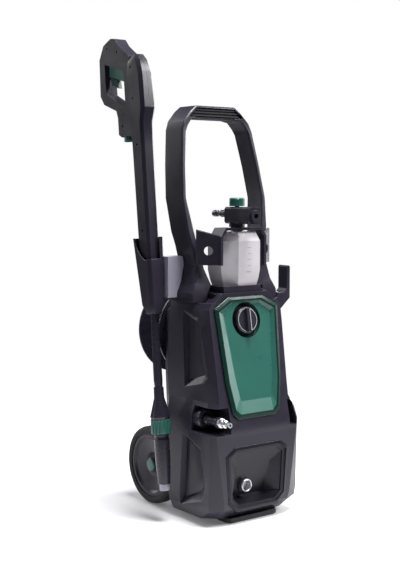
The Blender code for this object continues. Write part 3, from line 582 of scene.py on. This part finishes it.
class WASHER_OT_knob(bpy.types.Operator):
    """Make the switch knob, its light ring and its pointer"""

    bl_idname = "washer.knob"
    bl_label = "Switch knob"

    def execute(self, context):
        skin("switch_knob", "black", 0.0006, 24)
        axes = panel_axes()
        normal = axes[2]
        centre = on_panel(0, KNOB_UP, 0)
        profile = [(24.6, 1.2), (25.6, 1.2), (25.6, 2.15), (24.6, 2.25)]
        ring = turned("knob_ring", profile, centre, normal, 64)
        smooth(ring)
        fit(ring, "mark", "switch", slot="switch_knob")
        spot = centre + normal * (8.5 * MM) + Vector((3.4 * MM, 0, 0))
        fit(bar("knob_pointer", spot, (1.5, 46, 1.0), axes), "mark", "switch", slot="switch_knob")
        return {"FINISHED"}


class WASHER_OT_inlet(bpy.types.Operator):
    """Make the inlet bezel and the hose connector"""

    bl_idname = "washer.inlet"
    bl_label = "Water inlet"

    def execute(self, context):
        skin("inlet_bezel", "bezel", 0.0009, 20)
        profile = [(14.8, -50), (14.8, -95), (13.9, -97), (12.8, -98), (11.4, -97.6), (10.5, -96.2)]
        profile += [(10.5, -60), (6, -60), (6, -50)]
        turned_part("inlet_coupling", "aluminium", profile, at(-18, 0, 76), (0, 1, 0), edge=0.0003)
        return {"FINISHED"}


class WASHER_OT_handle(bpy.types.Operator):
    """Make the carrying handle and its grip"""

    bl_idname = "washer.handle"
    bl_label = "Handle"

    def execute(self, context):
        skin("handle_frame", "shell", 0.0014, 18)
        skin("grip_insert", "rubber", 0.0005)
        return {"FINISHED"}


class WASHER_OT_bottle_bracket(bpy.types.Operator):
    """Make the arch, the tray and the wings that hold the bottle"""

    bl_idname = "washer.bottle_bracket"
    bl_label = "Bottle bracket"

    def execute(self, context):
        skin("bottle_bracket", "shell", 0.0008)
        skin("bottle_tray", "shell", 0.0009)
        return {"FINISHED"}


class WASHER_OT_foam_unit(bpy.types.Operator):
    """Make the detergent bottle and the foam head on it"""

    bl_idname = "washer.foam_unit"
    bl_label = "Foam unit"

    def execute(self, context):
        obj = cleaned_copy("bottle")
        round_edges(obj, sizes().bottle_edge, 12, 4)
        smooth(obj, 60)
        fit(obj, "bottle", "foam_unit", "bottle")
        for step in range(5):
            short = step % 2
            spot = at(16.0 + short, -60.95, 532.0 + 13.0 * step)
            mark = bar(f"level_mark_{step + 1}", spot, (11.0 - 3 * short, 0.5, 1.0))
            fit(mark, "level", "foam_unit", slot="bottle")
        skin("foam_body", "black", 0.0008)
        profile = [(12.5, -103), (12.5, -98.4), (8.6, -98.4), (8.6, -92), (5.5, -92), (5.5, -103)]
        turned_part("spray_ring", "black", profile, at(0, 0, 652), (0, 1, 0))
        profile = [(0, -26), (7, -26), (7, -12), (10.5, -12), (10.5, -2), (8, 0), (8, 14), (5.5, 17)]
        profile += [(5.5, 26), (7.2, 28), (7.2, 40), (5.5, 44), (0, 44)]
        turned_part("foam_tip", "black", profile, at(0, 0, 656), (0, 1, 0))
        profile = [(0, 663), (5, 663), (5, 672.5), (CAP_RADIUS, 672.5), (CAP_RADIUS, 688), (14.5, 690.5)]
        profile += [(0, 690.5)]
        cap = turned("dosing_cap_turned", profile, at(0, -38, 0), (0, 0, 1), 60)
        grooved(cap, at(0, -38, 681), (0, 0, 1), CAP_RADIUS * MM, sizes().cap_ribs, (4.0, 1.8, 13.0), 0.9)
        smooth(cap, 34)
        fit(cap, "green", "dosing", "dosing_cap")
        return {"FINISHED"}


class WASHER_OT_gun(bpy.types.Operator):
    """Make the gun's shells, trigger, lock and hose release"""

    bl_idname = "washer.gun"
    bl_label = "Spray gun"

    def execute(self, context):
        for node in ("gun_shell_left", "gun_shell_right"):
            skin(node, "gun", 0.0011)
        skin("gun_trigger", "green", 0.0012)
        skin("trigger_lock", "green_dark", 0.0008)
        profile = [(12.0, 753), (12.0, 772), (9.4, 772), (9.4, 753)]
        turned_part("hose_release", "green", profile, gun_at(0, 54, 0), GUN_UP)
        return {"FINISHED"}


class WASHER_OT_lance(bpy.types.Operator):
    """Make the lance tube, the nozzle head, its ring and its tip"""

    bl_idname = "washer.lance"
    bl_label = "Lance and nozzle"

    def execute(self, context):
        parts = {
            "lance_tube": ("black", [(3.5, 222), (8.6, 222), (9.6, 236), (7.9, 370), (7.9, 482),
                                     (3.5, 482)]),
            "nozzle_head": ("black", [(3.5, 153), (20.5, 153), (22, 158), (11.2, 198), (10.6, 221),
                                      (3.5, 221)]),
            "nozzle_ring": ("green", [(12, 122), (RING_RADIUS, 122), (RING_RADIUS, 152.6), (12, 152.6)]),
            "nozzle_tip": ("grey", [(0, 3), (8, 3), (8, 0), (10.8, 0), (10.8, 13.6), (0, 13.6)]),
            "nozzle_barrel": ("black", [(4, 14), (13, 14), (16, 60), (16.4, 110), (14.6, 113), (14.6, 117),
                                        (16.4, 118), (16.4, 121.6), (11.6, 121.6), (11.6, 150), (4, 150)]),
        }
        for node, (finish, profile) in parts.items():
            turned_part(node, finish, profile, GUN_FOOT, GUN_UP)
        ring = bpy.data.objects["nozzle_ring_turned"]
        grooved(ring, gun_at(0, 0, 137), GUN_UP, RING_RADIUS * MM, RING_GROOVES, (4.0, 2.2, 24.0), 0.8)
        return {"FINISHED"}


class WASHER_OT_holster(bpy.types.Operator):
    """Make the gun's holster, its bracket and the cable hook"""

    bl_idname = "washer.holster"
    bl_label = "Holster and hook"

    def execute(self, context):
        skin("holster", "shell", 0.001)
        skin("holster_bracket", "grey", 0.001)
        skin("cable_hook", "shell", 0.0015)
        return {"FINISHED"}


class WASHER_OT_outlet(bpy.types.Operator):
    """Make the high-pressure outlet"""

    bl_idname = "washer.outlet"
    bl_label = "Pressure outlet"

    def execute(self, context):
        place = at(-95, 0, 223)
        profile = [(14.6, -28), (14.6, -34.4), (21.5, -34.4), (21.5, -52), (19.5, -56), (12.6, -56)]
        profile += [(12.6, -28)]
        turned_part("outlet_collar", "black", profile, place, (0, 1, 0))
        profile = [(0, -20), (12.2, -20), (12.2, -66), (10, -68), (10, -92), (11.5, -94), (11.5, -100)]
        profile += [(6.4, -100), (6.4, -84), (0, -84)]
        turned_part("outlet_coupling", "black", profile, place, (0, 1, 0))
        profile = [(0, -85), (6, -85), (6, -101), (10.5, -103), (10.5, -108), (6.5, -110), (6.5, -114)]
        profile += [(8.5, -116), (8.5, -121), (5.5, -123), (5.5, -136), (2.6, -136), (2.6, -90), (0, -90)]
        turned_part("outlet_nipple", "steel", profile, place, (0, 1, 0), edge=0.0003)
        return {"FINISHED"}


class WASHER_OT_drum(bpy.types.Operator):
    """Make the hose drum and the cable gland"""

    bl_idname = "washer.drum"
    bl_label = "Hose drum"

    def execute(self, context):
        profile = [(0, 105.4), (60, 105.4), (60, 108.5), (104, 108.5), (104, 112.5), (52, 112.5)]
        profile += [(52, 184), (104, 184), (104, 188), (30, 188), (28, 185), (0, 185)]
        turned_part("hose_drum", "black", profile, at(0, 0, 390), (0, 1, 0), 64)
        profile = [(0, 92), (7.8, 92), (7.8, 105.6), (11.5, 105.6), (11.5, 110), (8.5, 112), (7, 124)]
        profile += [(0, 124)]
        turned_part("cable_gland", "rubber", profile, at(52, 0, 215), (0, 1, 0), 32)
        return {"FINISHED"}


def grooved(obj, centre, axis, radius, count, size, depth):
    """Cuts evenly spaced grooves into a round piece, along its axis."""
    axis = Vector(axis).normalized()
    start = axis.orthogonal().normalized()
    teeth = []
    for step in range(count):
        out = Matrix.Rotation(2 * math.pi * step / count, 3, axis) @ start
        side = axis.cross(out)
        spot = Vector(centre) + out * (radius + (size[0] / 2 - depth) * MM)
        teeth.append(bar("tooth", spot, size, (out, side, axis)))
    pick_up(teeth[0])
    for tooth in teeth:
        tooth.select_set(True)
    bpy.ops.object.join()
    return cut(obj, teeth[0])


def tyre(tail, profile, place, axis):
    """A tyre with shallow grooves across its rolling face."""
    name = "tyre_" + tail
    obj = turned(name + "_turned", profile, place, axis, 96)
    middle = Vector(place) + Vector(axis) * (TREAD_MIDDLE * MM)
    grooved(obj, middle, axis, WHEEL_RADIUS * MM, 36, (6.0, 3.0, 26.0), sizes().tread_depth / MM)
    smooth(obj, 34)
    fit(obj, "rubber", body_of(name), name)


class WASHER_OT_wheels(bpy.types.Operator):
    """Make the wheels, their tyres and hub caps, and the axle's carrier"""

    bl_idname = "washer.wheels"
    bl_label = "Wheels"

    def execute(self, context):
        place = at(0, 138, WHEEL_RADIUS)
        rim = [(6.4, 79), (14, 79), (16, 90), (50, 97), (62, 80), (71, 80), (71, 109), (64, 109)]
        rim += [(58, 104), (28, 98), (17, 102), (17, 104.5), (15.5, 104.5), (15.5, 101.5), (6.4, 101.5)]
        tread = [(71.4, 79), (80, 78), (86, 81), (WHEEL_RADIUS, 86), (WHEEL_RADIUS, 104), (86, 109)]
        tread += [(80, 113), (71.4, 111)]
        cap = [(0, 102.2), (15, 102.2), (15, 107), (12.5, 109), (0, 109.5)]
        for side, tail in ((-1, "left"), (1, "right")):
            axis = (side, 0, 0)
            turned_part("wheel_" + tail, "shell", rim, place, axis, 64, 0.001)
            tyre(tail, tread, place, axis)
            turned_part("hub_cap_" + tail, "green", cap, place, axis, 40)
        skin("axle_carrier", "black", 0.001)
        return {"FINISHED"}


class WASHER_OT_inside(bpy.types.Operator):
    """Give the pieces inside the body and the gun their finishes"""

    bl_idname = "washer.inside"
    bl_label = "Inner pieces"

    def execute(self, context):
        inner = {
            "steel": ("axle", "motor_shaft", "wobble_plate", "piston_1", "piston_2", "piston_3",
                      "gun_pipe"),
            "aluminium": ("motor_can", "pump_body", "pump_manifold"),
            "brass": ("inlet_pipe", "outlet_pipe", "gun_valve", "hose_socket"),
            "black": ("cooling_fan", "pressure_switch", "switch_box"),
            "bottle": ("inlet_filter",),
            "hose": ("suction_tube",),
        }
        for finish, nodes in inner.items():
            for node in nodes:
                obj = frame["nodes"][node]
                obj.data.materials.clear()
                obj.data.materials.append(FINISHES[finish])
        return {"FINISHED"}


def lay_floor(size):
    """A pale floor that fades away towards its rim, just under the piece."""
    put_down()
    bpy.ops.mesh.primitive_plane_add(size=size, location=(0, 0, -0.0004))
    floor = bpy.context.object
    floor.name = "floor"
    mat, tree, shader, place = new_finish("pale_floor")
    tree.links.new(mixed(tree, span(tree, noise(tree, 1.5, 2.0, place), 0.3, 0.7),
                         (0.72, 0.72, 0.74), (0.75, 0.75, 0.76)), shader.inputs["Base Color"])
    shader.inputs["Roughness"].default_value = 0.7
    shader.inputs["Emission Color"].default_value = (1.0, 1.0, 1.0, 1.0)
    shader.inputs["Emission Strength"].default_value = 0.10
    far = tree.nodes.new("ShaderNodeVectorMath")
    far.operation = "LENGTH"
    tree.links.new(place, far.inputs[0])
    tree.links.new(span(tree, far.outputs["Value"], 0.5, size * 0.46, 1.0, 0.0), shader.inputs["Alpha"])
    floor.data.materials.append(mat)


def fill_air(scene):
    """Dim, faintly blue light from all round, with a white backdrop behind the piece."""
    world = bpy.data.worlds.new("studio")
    scene.world = world
    world.use_nodes = True
    tree = world.node_tree
    air = tree.nodes["Background"]
    air.inputs["Color"].default_value = (0.86, 0.87, 1.0, 1.0)
    air.inputs["Strength"].default_value = 0.13
    backdrop = tree.nodes.new("ShaderNodeBackground")
    backdrop.inputs["Color"].default_value = (1.0, 1.0, 1.0, 1.0)
    seen = tree.nodes.new("ShaderNodeLightPath")
    choose = tree.nodes.new("ShaderNodeMixShader")
    tree.links.new(seen.outputs["Is Camera Ray"], choose.inputs["Fac"])
    tree.links.new(air.outputs["Background"], choose.inputs[1])
    tree.links.new(backdrop.outputs["Background"], choose.inputs[2])
    tree.links.new(choose.outputs["Shader"], tree.nodes["World Output"].inputs["Surface"])


def hang_lights(scene):
    for name, spot, width, power in LIGHTS:
        lamp = bpy.data.lights.new(name, "AREA")
        lamp.shape = "RECTANGLE"
        lamp.size = width
        lamp.size_y = width * 1.6
        lamp.energy = power
        obj = bpy.data.objects.new(name, lamp)
        scene.collection.objects.link(obj)
        obj.location = spot
        obj.rotation_euler = (LIGHTS_AIM - Vector(spot)).to_track_quat("-Z", "Y").to_euler()


def seat_camera(scene):
    camera = bpy.data.cameras.new("camera")
    camera.lens = sizes().camera_lens
    camera.sensor_width = 36.0
    seat = bpy.data.objects.new("camera", camera)
    scene.collection.objects.link(seat)
    seat.location = CAMERA_SPOT
    seat.rotation_euler = (math.radians(90.0) - CAMERA_TILT, 0.0, CAMERA_TURN)
    scene.camera = seat


class WASHER_OT_stage(bpy.types.Operator):
    """Make the floor, the lights and the camera"""

    bl_idname = "washer.stage"
    bl_label = "Stage"

    def execute(self, context):
        scene = context.scene
        lay_floor(sizes().floor_size)
        fill_air(scene)
        scene.view_settings.view_transform = "Standard"
        hang_lights(scene)
        seat_camera(scene)
        return {"FINISHED"}


class WASHER_PT_panel(bpy.types.Panel):
    bl_idname = "WASHER_PT_panel"
    bl_label = "Pressure washer"
    bl_space_type = "VIEW_3D"
    bl_region_type = "UI"
    bl_category = "Washer"

    def draw(self, context):
        column = self.layout.column(align=True)
        for piece in PIECES:
            column.operator(piece.bl_idname)
        for group in (context.scene.washer_colours, context.scene.washer_sizes):
            box = self.layout.box()
            for name in group.__annotations__:
                box.prop(group, name)


PIECES = (
    WASHER_OT_shells, WASHER_OT_front_panel, WASHER_OT_knob, WASHER_OT_inlet, WASHER_OT_handle,
    WASHER_OT_bottle_bracket, WASHER_OT_foam_unit, WASHER_OT_gun, WASHER_OT_lance, WASHER_OT_holster,
    WASHER_OT_outlet, WASHER_OT_drum, WASHER_OT_wheels, WASHER_OT_inside, WASHER_OT_stage,
)
CLASSES = (WasherColours, WasherSizes, *PIECES, WASHER_PT_panel)


def register():
    for item in CLASSES:
        bpy.utils.register_class(item)
    bpy.types.Scene.washer_colours = bpy.props.PointerProperty(type=WasherColours)
    bpy.types.Scene.washer_sizes = bpy.props.PointerProperty(type=WasherSizes)


def unregister():
    del bpy.types.Scene.washer_sizes
    del bpy.types.Scene.washer_colours
    for item in reversed(CLASSES):
        bpy.utils.unregister_class(item)


def main():
    register()
    make_finishes()
    for piece in PIECES:
        family, name = piece.bl_idname.split(".")
        getattr(getattr(bpy.ops, family), name)()


if __name__ == "__main__":
    main()
